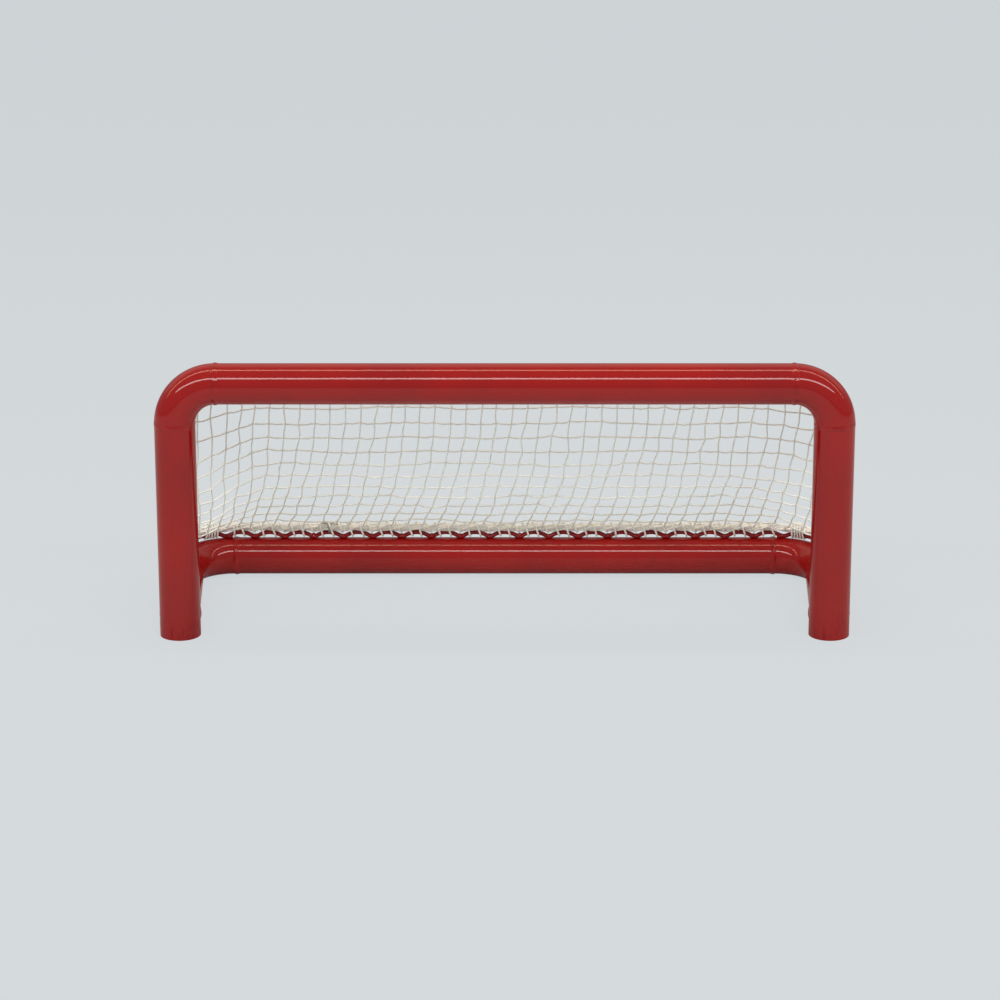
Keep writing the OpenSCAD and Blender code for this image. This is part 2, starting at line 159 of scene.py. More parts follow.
# The view is that of a player who stands some way in front of the goal's middle
EYE, DEGREES_DOWN = (0, -4.5942, 1.605), 17.61
LENS, SENSOR_WIDTH, SHIFT_X = 128.6, 36, -0.0047
camera_data = bpy.data.cameras.new("camera")
camera_data.lens, camera_data.sensor_width, camera_data.shift_x = LENS, SENSOR_WIDTH, SHIFT_X
camera = bpy.data.objects.new("camera", camera_data)
camera.location = EYE
camera.rotation_euler = (math.radians(90 - DEGREES_DOWN), 0, 0)
bpy.context.scene.collection.objects.link(camera)
bpy.context.scene.camera = camera
bpy.context.scene.view_settings.view_transform = "Standard"

# ---- Frame tubes ----
# Round steel tube, cut, bent and welded, then coated thickly in gloss red. The coat has a fine
# orange peel, the tube under it soft dents, and the feet have lost some gloss on the ice.
RED = (0.30, 0.007, 0.005, 1)
DEEP_RED = (0.235, 0.006, 0.006, 1)
CHIP = (0.03, 0.008, 0.012, 1)
PAINT_ROUGHNESS, COAT_WEIGHT = 0.34, 0.7
DENT_DEPTH, PEEL_DEPTH, CHIP_DEPTH, WEAR_DEPTH = 0.35 * MM, 0.006 * MM, 0.15 * MM, 0.03 * MM
WORN_BELOW, UNWORN_ABOVE = 4 * MM, 50 * MM


def coated(finish, colour, roughness, coat, coat_roughness, relief):
    """Paint under a clear coat. The relief is a height in metres."""
    return finish.close(finish.node("BsdfPrincipled", None, {
        "Base Color": colour,
        "Roughness": roughness,
        "Specular IOR Level": 0.0,
        "Coat Weight": coat,
        "Coat Roughness": coat_roughness,
        "Normal": finish.node("Bump", None, {"Distance": 1.0, "Height": relief}),
    }))


frame_finish = Finish(bpy.data.materials.new("frame_paint"))
place = frame_finish.node("TexCoord", out="Object")
height = frame_finish.node("SeparateXYZ", None, {0: place}, out="Z")
dents = frame_finish.noise(place, 16, 1.0)
peel = frame_finish.noise(place, 420, 2.0)
patches = frame_finish.noise(place, 5, 4.0, 0.6)
specks = frame_finish.node("TexVoronoi", None, {"Vector": place, "Scale": 24.0}, out="Distance")
speck_size = frame_finish.noise(place, 9, 2.0)
chips = (1 - frame_finish.between(specks, 0.015, 0.03)) * (speck_size > 0.62)
drawn_out = frame_finish.node("VectorMath", {"operation": "MULTIPLY"}, {0: place, 1: (1, 1, 0.06)})
scratches = frame_finish.between(frame_finish.noise(drawn_out, 900, 3.0), 0.5, 0.75)
foot_wear = (1 - frame_finish.between(height, WORN_BELOW, UNWORN_ABOVE)) * scratches
colour = frame_finish.mix(frame_finish.between(patches, 0.3, 0.75), RED, DEEP_RED)
colour = frame_finish.mix(chips, colour, CHIP)
colour = frame_finish.mix(foot_wear * 0.5, colour, CHIP)
relief = dents * DENT_DEPTH + peel * PEEL_DEPTH - chips * CHIP_DEPTH - foot_wear * WEAR_DEPTH
frame_paint = coated(frame_finish, colour, PAINT_ROUGHNESS + foot_wear * 0.3,
                     COAT_WEIGHT - foot_wear * 0.5, 0.05, relief)
for name in ("crossbar", "left_post", "right_post", "left_top_elbow", "right_top_elbow",
             "rear_base_tube", "left_base_tube", "right_base_tube", "left_rear_elbow",
             "right_rear_elbow"):
    tubes[name].data.materials.clear()
    tubes[name].data.materials.append(frame_paint)

# ---- Butt welds ----
# A bead runs round each joint between an elbow and a straight tube. It was laid in short
# overlapping puddles and painted over with the frame, so it shows as a soft rippled band. The
# beads on top of the posts are flatter than the others.
UP = np.array([0, 0, 1])
FRONT_R, BASE_R = 27 * MM, 25.4 * MM
POST_X, POST_Y = 430.2 * MM, -126.2 * MM
REAR_Y, BAR_Z = 127.8 * MM, 345 * MM
TOP_ELBOW_R, REAR_ELBOW_R = 54 * MM, 66 * MM
BAR_HALF, POST_TOP = POST_X - TOP_ELBOW_R, BAR_Z - TOP_ELBOW_R

# The side tubes spread apart by SPLAY each from the posts to the rear
SPLAY, DEPTH = 12 * MM, 254 * MM
FLARE = math.atan(SPLAY / DEPTH)
REAR_BEND = math.pi / 2 + FLARE
REAR_TANGENT = REAR_ELBOW_R * math.tan(REAR_BEND / 2)
REAR_HALF = POST_X + SPLAY - REAR_TANGENT
SIDE_END = DEPTH / math.cos(FLARE) - REAR_TANGENT

ROD_R, CLEARANCE = 3 * MM, 0.3 * MM
ROD_GAP = math.asin((ROD_R + CLEARANCE) / FRONT_R)

# A bead's edges lie BEAD_SINK inside the tube's surface, and its narrower root BEAD_ROOT inside
BEAD_W, BEAD_H, POST_BEAD_H = 10.5 * MM, 0.95 * MM, 0.42 * MM
BEAD_SINK, BEAD_ROOT, BEAD_ROOT_SHARE = 0.14 * MM, 0.6 * MM, 0.9
BEAD_STEPS, BEAD_TAPER_STEPS, BEAD_POINTS = 150, 4, 9
RIPPLE_STEPS, WANDER_STEPS = 3, 6
RIPPLE, UNEVENNESS, DRIFT = 0.16, 0.1, 0.35 * MM
FLOOR_GAP = 0.1 * MM


def loft(rings, joined=False):
    """Corners and faces of a skin over rings of points; it closes on itself or has flat ends."""
    rings = np.asarray(rings, float)
    count, around = rings.shape[:2]
    index = np.arange(count * around).reshape(count, around)
    rows = np.roll(index, -1, axis=0) if joined else index[1:]
    first = index if joined else index[:-1]
    quads = np.stack([first, np.roll(first, -1, axis=1), np.roll(rows, -1, axis=1), rows], axis=-1)
    faces = quads.reshape(-1, 4).tolist()
    if not joined:
        faces += [index[0, ::-1].tolist(), index[-1].tolist()]
    return rings.reshape(-1, 3), faces


def piece(name, skins, material, replaced=(), lay=None):
    """One smooth mesh of several skins, standing for CAD nodes. lay gives each corner its place
    along and around its strand."""
    corners = np.concatenate([skin[0] for skin in skins])
    faces, start = [], 0
    for skin in skins:
        faces += [[start + corner for corner in face] for face in skin[1]]
        start += len(skin[0])
    mesh = bpy.data.meshes.new(name)
    mesh.from_pydata(corners.tolist(), [], faces)
    mesh.polygons.foreach_set("use_smooth", [True] * len(mesh.polygons))
    if lay is not None:
        on_strand = np.concatenate(lay)
        which = np.empty(len(mesh.loops), int)
        mesh.loops.foreach_get("vertex_index", which)
        mesh.uv_layers.new(name="lay").data.foreach_set("uv", on_strand[which].ravel())
    mesh.validate()
    made = bpy.data.objects.new(name, mesh)
    bpy.context.scene.collection.objects.link(made)
    mesh.materials.append(material)
    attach(made, "root")
    if replaced:
        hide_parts(*replaced)
    return made


def side_tube_frame(side):
    """Origin, direction to the rear, and sideways direction of the base tube on one side."""
    origin = np.array([side * POST_X, POST_Y, 0])
    along = np.array([side * math.sin(FLARE), math.cos(FLARE), 0])
    return origin, along, np.array([side * math.cos(FLARE), -math.sin(FLARE), 0])


def puddles(count, seed):
    """Uneven ripples of a hand-laid bead: its height and its shift sideways at each step."""
    rng = random.Random(seed)
    wander = [rng.uniform(-1, 1) for _ in range(count // WANDER_STEPS + 3)]
    for i in range(count):
        near, part = divmod(i / WANDER_STEPS, 1)
        drift = wander[int(near)] * (1 - part) + wander[int(near) + 1] * part
        ripple = abs(math.sin(i * math.pi / RIPPLE_STEPS))
        yield 1 + RIPPLE * ripple + UNEVENNESS * drift, DRIFT * drift


def butt_bead(centre, axis, start, radius, height, seed):
    """A bead round a tube, from one side of the rod that crosses it to the other."""
    centre, axis, start = (np.array(v, float) for v in (centre, axis, start))
    other = np.cross(axis, start)
    rings = []
    for i, (swell, drift) in enumerate(puddles(BEAD_STEPS + 1, seed)):
        angle = ROD_GAP + (2 * math.pi - 2 * ROD_GAP) * i / BEAD_STEPS
        out = start * math.cos(angle) + other * math.sin(angle)
        taper = min(1, (i + 0.6) / BEAD_TAPER_STEPS, (BEAD_STEPS - i + 0.6) / BEAD_TAPER_STEPS)
        ring = []
        for across in np.linspace(-1, 1, BEAD_POINTS):
            lift = height * swell * taper * (1 + math.cos(math.pi * across)) / 2
            ring.append(centre + out * (radius + lift - BEAD_SINK)
                        + axis * (across * BEAD_W / 2 * taper + drift))
        for across in (1, -1):
            ring.append(centre + out * (radius - BEAD_ROOT)
                        + axis * (across * BEAD_W / 2 * taper * BEAD_ROOT_SHARE + drift))
        rings.append(ring)
    return loft(rings)


top_beads, rear_beads = [], []
for side in (1, -1):
    origin, along, _ = side_tube_frame(side)
    top_beads += [
        butt_bead((side * BAR_HALF, POST_Y, BAR_Z), (1, 0, 0), (0, 1, 0), FRONT_R, BEAD_H, 11 + side),
        butt_bead((side * POST_X, POST_Y, POST_TOP), UP, along, FRONT_R, POST_BEAD_H, 21 + side)]
    rear_beads += [
        butt_bead((side * REAR_HALF, REAR_Y, BASE_R), (1, 0, 0), UP, BASE_R, BEAD_H, 31 + side),
        butt_bead(origin + along * SIDE_END + UP * BASE_R, along, UP, BASE_R, BEAD_H, 41 + side)]

# The rear beads end just above the floor
for corners, _ in rear_beads:
    corners[:, 2] = np.maximum(corners[:, 2], FLOOR_GAP)

weld_finish = Finish(bpy.data.materials.new("weld_paint"))
place = weld_finish.node("TexCoord", out="Object")
peel = weld_finish.noise(place, 420, 2.0)
patches = weld_finish.noise(place, 60, 3.0)
colour = weld_finish.mix(weld_finish.between(patches, 0.35, 0.7), RED, DEEP_RED)
relief = patches * (0.15 * MM) + peel * (0.008 * MM)
weld_paint = coated(
    weld_finish, colour, PAINT_ROUGHNESS + patches * 0.1, COAT_WEIGHT, 0.06, relief)
piece("top_elbow_beads", top_beads, weld_paint, ["top_elbow_welds"])
piece("rear_elbow_beads", rear_beads, weld_paint, ["rear_elbow_welds"])

# ---- Foot welds ----
# Each side tube is coped to its post, and a fillet weld follows that saddle-shaped joint from
# just above the ground on one side, over the top, and down again.
BAR_SIDES = 14
FILLET_R, FILLET_OUT = 2.0 * MM, 0.3 * MM

# Degrees round the side tube, from straight sideways
FILLET_START, FILLET_SWEEP = -58, 296
FILLET_STEPS, FILLET_TAPER_STEPS = 110, 5
TOP_FULLNESS = 0.6


def transported(path, up):
    """Directions across and over a path, turned as little as possible from step to step."""
    path = np.asarray(path, float)
    ahead = np.gradient(path, axis=0)
    ahead /= np.linalg.norm(ahead, axis=1)[:, None]
    across = np.empty_like(path)
    last = np.cross(ahead[0], up)
    for i, direction in enumerate(ahead):
        last = last - direction * (last @ direction)
        last /= np.linalg.norm(last)
        across[i] = last
    return across, np.cross(across, ahead)


def strand(path, radius, sides, up=(0, 0, 1)):
    """A round bar along a path, and each corner's place along and around it. The radius is one
    number, one for each step, or one for each step and side."""
    path = np.asarray(path, float)
    across, over = transported(path, up)
    turn = np.arange(sides) * 2 * math.pi / sides
    radius = np.asarray(radius, float)
    radius = radius.reshape(radius.shape + (1,) * (2 - radius.ndim)) * np.ones((len(path), sides))
    out = across[:, None] * np.cos(turn)[:, None] + over[:, None] * np.sin(turn)[:, None]
    far = np.concatenate([[0], np.cumsum(np.linalg.norm(np.diff(path, axis=0), axis=1))]) / MM
    lay = np.stack([np.repeat(far, sides), np.tile(turn / (2 * math.pi), len(path))], axis=1)
    return loft(path[:, None] + out * radius[..., None]), lay


fillets = []
for side in (1, -1):
    origin, along, sideways = side_tube_frame(side)
    path, thick = [], []
    for i, (swell, _) in enumerate(puddles(FILLET_STEPS + 1, 51 + side)):
        angle = math.radians(FILLET_START + FILLET_SWEEP * i / FILLET_STEPS)
        reach = math.sqrt(FRONT_R ** 2 - (BASE_R * math.cos(angle)) ** 2)
        path.append(origin + along * (reach + FILLET_OUT)
                    + sideways * (BASE_R + FILLET_OUT) * math.cos(angle)
                    + UP * (BASE_R + (BASE_R + FILLET_OUT) * math.sin(angle)))
        fullness = 1 + TOP_FULLNESS * max(0, math.sin(angle))
        taper = min(1, (i + 1) / FILLET_TAPER_STEPS, (FILLET_STEPS + 1 - i) / FILLET_TAPER_STEPS)
        thick.append(FILLET_R * fullness * (0.75 + 0.25 * swell) * taper)
    fillets.append(strand(path, thick, BAR_SIDES)[0])
piece("foot_fillets", fillets, weld_paint, ["foot_welds"])

# ---- Lacing rods ----
# A steel rod bent into a row of humps stands on each tube, so that cord can pass under every
# hump. Short rods with one long hump follow the elbows. All are tacked on and painted.
HUMP_RISE, SEAT_R, HUMP_STEPS = 5.6 * MM, 10 * MM, 36
REAR_HUMPS, BAR_HUMPS, SIDE_HUMPS, POST_HUMPS = 19, 18, 4, 5
ROD_OVERRUN = 14.7 * MM
ROD_HALF = REAR_HALF + ROD_OVERRUN
ROD_BEND_R = REAR_ELBOW_R - ROD_OVERRUN / math.tan(REAR_BEND / 2)
PITCH = 2 * ROD_HALF / REAR_HUMPS
SIDE_START, POST_START = 43 * MM, 86.8 * MM
SIDE_PITCH = (SIDE_END + ROD_OVERRUN - SIDE_START) / SIDE_HUMPS
POST_PITCH = (POST_TOP - POST_START) / POST_HUMPS

# In mm: how far a hump leans, and a tack's half length, half width, height and shift
HUMP_LEAN = 0.35
TACK_SIZES, TACK_SHIFT = ((4.6, 6.0), (3.5, 4.2), (6.4, 7.8)), 0.7

# A tack's centre stays about this part of its half length from the rod's ends. Its tips are cut off
TACK_INSET, TACK_TIP = 0.8, 0.03
TACK_STEPS, TACK_SIDES, TACK_BLUNTNESS, TACK_SINK = 12, 16, 0.32, 0.5 * MM


def hump_height(x, pitch):
    """How far the rod's axis has risen at x from a seat: two arcs with straight flanks between."""
    bend = 2 * math.atan(HUMP_RISE / (pitch / 2))
    crown_r = pitch / 2 / math.sin(bend) - SEAT_R
    x = abs((x + pitch / 2) % pitch - pitch / 2)
    seat_end, crown_start = SEAT_R * math.sin(bend), pitch / 2 - crown_r * math.sin(bend)
    if x <= seat_end:
        return SEAT_R - math.sqrt(SEAT_R ** 2 - x * x)
    if x < crown_start:
        return SEAT_R * (1 - math.cos(bend)) + (x - seat_end) * math.tan(bend)
    return HUMP_RISE - crown_r + math.sqrt(crown_r ** 2 - (pitch / 2 - x) ** 2)


class Seating:
    """Where a row of humps stands: its first seat, the way it runs, and the way its humps point."""

    def __init__(self, origin, along, out, humps, pitch):
        self.origin, self.along, self.out = (np.array(v, float) for v in (origin, along, out))
        self.aside = np.cross(self.along, self.out)
        self.humps, self.pitch = humps, pitch

    def at(self, x, lift, aside=0.0):
        return self.origin + self.along * x + self.out * lift + self.aside * aside

    def rod(self, seed):
        rng = random.Random(seed)
        steps = self.humps * HUMP_STEPS
        path = []
        leans = [rng.uniform(-HUMP_LEAN, HUMP_LEAN) * MM for _ in range(self.humps + 1)]
        for i in range(steps + 1):
            x = self.humps * self.pitch * i / steps
            rise = hump_height(x, self.pitch)
            lean = leans[min(int(x / self.pitch), self.humps)] * rise / HUMP_RISE
            path.append(self.at(x, ROD_R + rise, lean))
        return strand(path, ROD_R, BAR_SIDES, self.aside)

    def tacks(self, seed):
        """A lump of weld at each seat, which fills the valley between two humps."""
        rng = random.Random(seed)
        made = []
        for k in range(self.humps + 1):
            long, wide, tall = (rng.uniform(low, high) * MM for low, high in TACK_SIZES)
            inset = long * TACK_INSET
            x = min(max(k * self.pitch, inset), self.humps * self.pitch - inset)
            x += rng.uniform(-TACK_SHIFT, TACK_SHIFT) * MM
            rings = []
            for i in range(TACK_STEPS + 1):
                part = math.cos(math.pi * (TACK_TIP + (1 - 2 * TACK_TIP) * i / TACK_STEPS))
                body = (1 - part * part) ** TACK_BLUNTNESS
                ring = []
                for j in range(TACK_SIDES):
                    turn = 2 * math.pi * j / TACK_SIDES
                    lump = 1 + 0.06 * math.sin(3 * turn + k) + 0.05 * math.sin(4 * part + 2 * k + turn)
                    lift = tall / 2 * body * (1 + math.sin(turn)) * lump - TACK_SINK
                    ring.append(self.at(x - long * part, lift, wide * body * math.cos(turn) * lump))
                rings.append(ring)
            made.append(loft(rings))
        return made


# A corner rod's ends are flat stubs that then rise over 3.5 times its rise. The rear ones rise just
# enough for the cord
ROD_STUB = 0.8 * MM
RAMP_PER_RISE = 3.5
LOW_RISE = 3.1 * MM
CORNER_STEPS = 60


class Corner:
    """A bend that a corner rod follows: its centre, radius and the plane that it stands on."""

    def __init__(self, centre, radius, start, sweep, rise, first, second, out):
        self.centre, self.first, self.second, self.out = (
            np.array(v, float) for v in (centre, first, second, out))
        self.radius, self.start, self.sweep, self.rise = radius, start, sweep, rise
        self.stub = ROD_STUB / (radius * sweep)
        self.ramp = RAMP_PER_RISE * rise / (radius * sweep)

    def risen(self, t):
        part = max(0, min(1, (min(t, 1 - t) - self.stub) / self.ramp))
        return self.rise * (1 - math.cos(math.pi * part)) / 2

    def at(self, t, lift, aside=0.0):
        angle = self.start + self.sweep * t
        spoke = self.first * math.cos(angle) + self.second * math.sin(angle)
        return self.centre + spoke * (self.radius + aside) + self.out * lift

    def rod(self):
        path = [self.at(i / CORNER_STEPS, ROD_R + self.risen(i / CORNER_STEPS))
                for i in range(CORNER_STEPS + 1)]
        return strand(path, ROD_R, BAR_SIDES, self.out)


rear_seats = Seating((-ROD_HALF, REAR_Y, 2 * BASE_R), (1, 0, 0), UP, REAR_HUMPS, PITCH)
bar_seats = Seating(
    (-BAR_HUMPS * PITCH / 2, POST_Y + FRONT_R, BAR_Z), (1, 0, 0), (0, 1, 0), BAR_HUMPS, PITCH)
side_seats, post_seats, rear_corners, top_corners = {}, {}, {}, {}
for side in (1, -1):
    origin, along, _ = side_tube_frame(side)
    side_seats[side] = Seating(
        origin + along * SIDE_START + UP * 2 * BASE_R, along, UP, SIDE_HUMPS, SIDE_PITCH)
    post_seats[side] = Seating(
        origin + along * FRONT_R + UP * POST_START, UP, along, POST_HUMPS, POST_PITCH)
    rear_corners[side] = Corner(
        (side * ROD_HALF, REAR_Y - ROD_BEND_R, 2 * BASE_R), ROD_BEND_R,
        -FLARE, REAR_BEND, LOW_RISE, (side, 0, 0), (0, 1, 0), UP)
    top_corners[side] = Corner(
        (side * BAR_HALF, POST_Y + FRONT_R, POST_TOP), TOP_ELBOW_R,
        0, math.pi / 2, HUMP_RISE, (side, 0, 0), UP, (0, 1, 0))

# The rods' maroon is the frame's red darkened, as painted shade for rods that lie under the rope and
# net. Noise patches mix it with the frame's red
ROD_SHADE_RED = (0.20, 0.008, 0.012, 1)
rod_finish = Finish(bpy.data.materials.new("rod_paint"))
place = rod_finish.node("TexCoord", out="Object")
patches = rod_finish.noise(place, 90, 3.0)
colour = rod_finish.mix(rod_finish.between(patches, 0.35, 0.7), ROD_SHADE_RED, RED)
rod_paint = coated(rod_finish, colour, 0.36 + patches * 0.15, 0.6, 0.1, patches * (0.12 * MM))


def rod_piece(name, bar, replaced):
    return piece(name, [bar[0]], rod_paint, [replaced])


SIDES = ((1, "right"), (-1, "left"))
rod_piece("rear_rod", rear_seats.rod(61), "rear_lacing_rod")
rod_piece("crossbar_rod", bar_seats.rod(62), "crossbar_lacing_rod")
piece("rear_rod_tacks", rear_seats.tacks(71), weld_paint)
piece("crossbar_rod_tacks", bar_seats.tacks(72), weld_paint)
for side, word in SIDES:
    rod_piece(word + "_base_rod", side_seats[side].rod(63 + side), word + "_base_lacing_rod")
    rod_piece(word + "_post_rod", post_seats[side].rod(67 + side), word + "_post_lacing_rod")
    rod_piece(word + "_rear_bend_rod", rear_corners[side].rod(), word + "_rear_corner_rod")
    rod_piece(word + "_top_bend_rod", top_corners[side].rod(), word + "_top_corner_rod")
    tacks = side_seats[side].tacks(73 + side) + post_seats[side].tacks(77 + side)
    piece(word + "_side_rod_tacks", tacks, weld_paint)

# ---- Border ropes ----
# A laid rope of three strands is threaded through the net's edge meshes, and the thick twines of
# that edge gather round it. One length goes up a post, along the crossbar and down the other
# post, the other goes round the base and sags a little between the rod's humps.
ROPE_R, CORE_R, ROPE_LAY = 4.5 * MM, 3.4 * MM, 15 * MM
ROPE_STRANDS, ROPE_STEP, ROPE_SIDES = 3, 1.05 * MM, 18
ROPE_WANDER, WANDER_FADE_STEPS = 0.25 * MM, 12
VALLEY, CREST, CREST_POWER = 0.80, 0.24, 0.7
ROPE_SAG = 1.3 * MM
ROPE_LIFT = 2 * ROD_R + HUMP_RISE + CLEARANCE + ROPE_R
BASE_ROPE_Z = 2 * BASE_R + ROPE_LIFT
FRONT_ROPE_Y = POST_Y + (FRONT_R + ROPE_LIFT) * math.cos(FLARE)
FRONT_ROPE_X = POST_X + (FRONT_R + ROPE_LIFT) * math.sin(FLARE)
ROPE_BEND_R = FRONT_ROPE_X - BAR_HALF
ROPE_BEND_Z = BAR_Z - ROPE_BEND_R
BEND_STEPS, CORNER_ROPE_STEPS, STRAIGHT_STEPS = 24, 44, 108

# The base rope starts to sink this part of a corner before the corner, and is up again as far after
CORNER_LEAD = 0.15


def evenly(corners, step):
    """Points at an even distance along a path of straight stretches."""
    corners = np.asarray(corners, float)
    far = np.concatenate([[0], np.cumsum(np.linalg.norm(np.diff(corners, axis=0), axis=1))])
    count = max(2, int(round(far[-1] / step)) + 1)
    places = np.linspace(0, far[-1], count)
    return np.stack([np.interp(places, far, corners[:, i]) for i in range(3)], axis=1)


def both_ways(half):
    """A path up to the middle of the goal, then its mirror image."""
    half = np.asarray(half, float)
    return np.concatenate([half, half[::-1] * [-1, 1, 1]])


def laid_rope(path, up, seed):
    """A rope whose three strands wind round it, and which wavers a little."""
    path = evenly(path, ROPE_STEP)
    rng = random.Random(seed)
    phase = [rng.uniform(0, 2 * math.pi) for _ in range(3)]
    step = np.arange(len(path))
    wander = np.array([[
        ROPE_WANDER * sum(math.sin((i / 18 + 3 * axis) * (n + 1) * 0.37 + phase[n]) for n in range(3))
        for axis in range(3)] for i in step.tolist()])
    path = path + wander * np.minimum(1, np.minimum(step, step[::-1]) / WANDER_FADE_STEPS)[:, None]
    turn = np.arange(ROPE_SIDES) * 2 * math.pi / ROPE_SIDES
    twist = step * ROPE_STEP / ROPE_LAY * 2 * math.pi
    lobes = np.abs(np.cos(ROPE_STRANDS / 2 * (turn[None, :] - twist[:, None]))) ** CREST_POWER
    return strand(path, CORE_R * (VALLEY + CREST * lobes), ROPE_SIDES, up)


def rope_sink(t):
    """How far the base rope has sunk towards the lower rod at t, from 0 to 1 round the corner."""
    ramp = CORNER_LEAD + rear_corners[1].stub + rear_corners[1].ramp
    sunk = max(0, min(1, (min(t, 1 - t) + CORNER_LEAD) / ramp))
    return (HUMP_RISE - LOW_RISE) * (1 - math.cos(math.pi * sunk)) / 2


def rope_sag(x):
    """How far the rope behind the goal sags between two crowns, x from the goal's middle."""
    fade = min(1, max(0, (ROD_HALF - abs(x)) / PITCH))
    return ROPE_SAG * fade * (1 - math.cos(2 * math.pi * x / PITCH)) / 2


front_half = [(FRONT_ROPE_X, FRONT_ROPE_Y, BASE_ROPE_Z + ROPE_R + CLEARANCE)]
for i in range(BEND_STEPS + 1):
    angle = math.pi / 2 * i / BEND_STEPS
    front_half.append((BAR_HALF + ROPE_BEND_R * math.cos(angle), FRONT_ROPE_Y,
                       ROPE_BEND_Z + ROPE_BEND_R * math.sin(angle)))

base_half = [(FRONT_ROPE_X, FRONT_ROPE_Y, BASE_ROPE_Z)]
for i in range(CORNER_ROPE_STEPS + 1):
    t = (1 + 2 * CORNER_LEAD) * i / CORNER_ROPE_STEPS - CORNER_LEAD
    on_bend = min(1, max(0, t))
    beyond = (t - on_bend) * ROD_BEND_R * REAR_BEND
    way = (math.sin(FLARE), math.cos(FLARE), 0) if beyond < 0 else (-1, 0, 0)
    base_half.append(
        rear_corners[1].at(on_bend, ROPE_LIFT - rope_sink(t)) + beyond * np.array(way))
straight_from = base_half[-1][0]
for i in range(1, STRAIGHT_STEPS + 1):
    x = straight_from * (1 - i / STRAIGHT_STEPS)
    base_half.append((x, REAR_Y, BASE_ROPE_Z - rope_sag(x)))

CREAM, OLD_CREAM = (0.95, 0.94, 0.88, 1), (0.87, 0.84, 0.75, 1)


def fibre_finish(name, light, dark, lay_length, plies, depth):
    """Twisted fibre: winding plies with painted shade in their grooves, fine hairs along them, and a
    little soiling.
    """
    finish = Finish(bpy.data.materials.new(name))
    place = finish.node("TexCoord", out="Object")
    on_strand = finish.node("UVMap", {"uv_map": "lay"})
    far = finish.node("SeparateXYZ", None, {0: on_strand}, out="X")
    round_it = finish.node("SeparateXYZ", None, {0: on_strand}, out="Y")
    winding = (far * (2 * math.pi / lay_length) + round_it * (2 * math.pi * plies)).sine()
    along_hairs = finish.node("CombineXYZ", None, {0: far * 1.4, 1: round_it * 30 + far * 2.0})
    hairs = finish.noise(along_hairs, 1.0, 3.0)
    soil = finish.noise(place, 28, 4.0, 0.6)
    # Soil and hairs darken the colour as dirt and tone, and the grooves between the plies are darkened
    # as painted shade
    dirt_and_groove_shade = finish.between(soil, 0.4, 0.8) * 0.45 + (1 - winding) * 0.1 + hairs * 0.2
    relief = winding * depth + hairs * (0.03 * MM)
    return finish.close(finish.node("BsdfPrincipled", None, {
        "Base Color": finish.mix(dirt_and_groove_shade, light, dark),
        "Roughness": 0.88,
        "Specular IOR Level": 0.25,
        "Sheen Weight": 0.25,
        "Normal": finish.node("Bump", None, {"Distance": 1.0, "Height": relief}),
    }))


def fibre_piece(name, strands, fibre, replaced=()):
    """A piece of strands, whose finish follows each of them."""
    return piece(name, [s[0] for s in strands], fibre, replaced, [s[1] for s in strands])


rope_fibre = fibre_finish(
    "border_rope", CREAM, OLD_CREAM, ROPE_LAY / MM / ROPE_STRANDS, 0, 0.02 * MM)
rope_runs = (("front", both_ways(front_half), (0, 1, 0), 81), ("base", both_ways(base_half), UP, 82))
for word, path, up, seed in rope_runs:
    fibre_piece(word + "_rope", [laid_rope(path, up, seed)], rope_fibre,
                [word + "_border_rope"])

EDGE_TWINES, EDGE_TWINE_R = 4, 1.3 * MM
EDGE_LAY, EDGE_STEP = 120 * MM, 2.4 * MM
CORD_SIDES = 8


def selvage(path, up, seed):
    """The thick twines of the net's edge, which wind slowly round the rope."""
    rng = random.Random(seed)
    path = evenly(path, EDGE_STEP)
    across, over = transported(path, up)
    far = np.arange(len(path)) * EDGE_STEP
    made = []
    for n in range(EDGE_TWINES):
        turn = (far / EDGE_LAY + n / EDGE_TWINES + 0.05 * np.sin(far * 40 + n * 2)) * 2 * math.pi
        reach = (CORE_R + EDGE_TWINE_R * 0.75) * (1 + 0.08 * np.sin(far * rng.uniform(60, 90) + n))
        out = across * np.cos(turn)[:, None] + over * np.sin(turn)[:, None]
        made.append(strand(path + out * reach[:, None], EDGE_TWINE_R, CORD_SIDES, up))
    return made


for word, path, up, seed in rope_runs:
    fibre_piece(word + "_selvage", selvage(path, up, seed + 2), rope_fibre)

# ---- Netting ----
# One piece of knotted net, square meshes of pale twine, hangs from the front rope and is pulled
# down over the base rope. It bellies inwards, leans to the left and is gathered at the posts.
TWINE_R, TWINE_SIDES, EYELET_STEPS = 1.15 * MM, 6, 12
NET_SAG, NET_CORNER_R = 28 * MM, 84 * MM
ROWS = 12
COLUMN_STEP, COLUMN_SHIFT, EDGE_MARGIN = 19.9 * MM, 7.5 * MM, 3 * MM

# How far the foot of a column has drifted to the left, by its place along the net. This part of it
# goes evenly down the column, and the rest faster further down
LEAN_AT = ((-0.60, 0.0), (-0.379, 0.035), (-0.266, 0.056), (0.0, 0.046), (0.379, 0.024), (0.60, 0.0))
EVEN_LEAN = 0.3

# The rows drop towards the posts, by these depths in mm. On the left the middle rows drop most
DROP_FROM, DROP_TO, DROP_POWER = 322 * MM, 404 * MM, 1.3
RIGHT_DROP, LEFT_DROP, LEFT_MIDDLE_DROP = 9, 14, 21.5

# Slow waves of the cloth by place and row, in each direction, and the knots' own errors, in mm
WAVES = ((31, 0.7, 0), (23, 1.1, 2), (27, -0.8, 1))
WAVE_SIZES, KNOT_ERRORS = (1.0, 1.2, 1.3), (0.9, 0.5, 0.8)

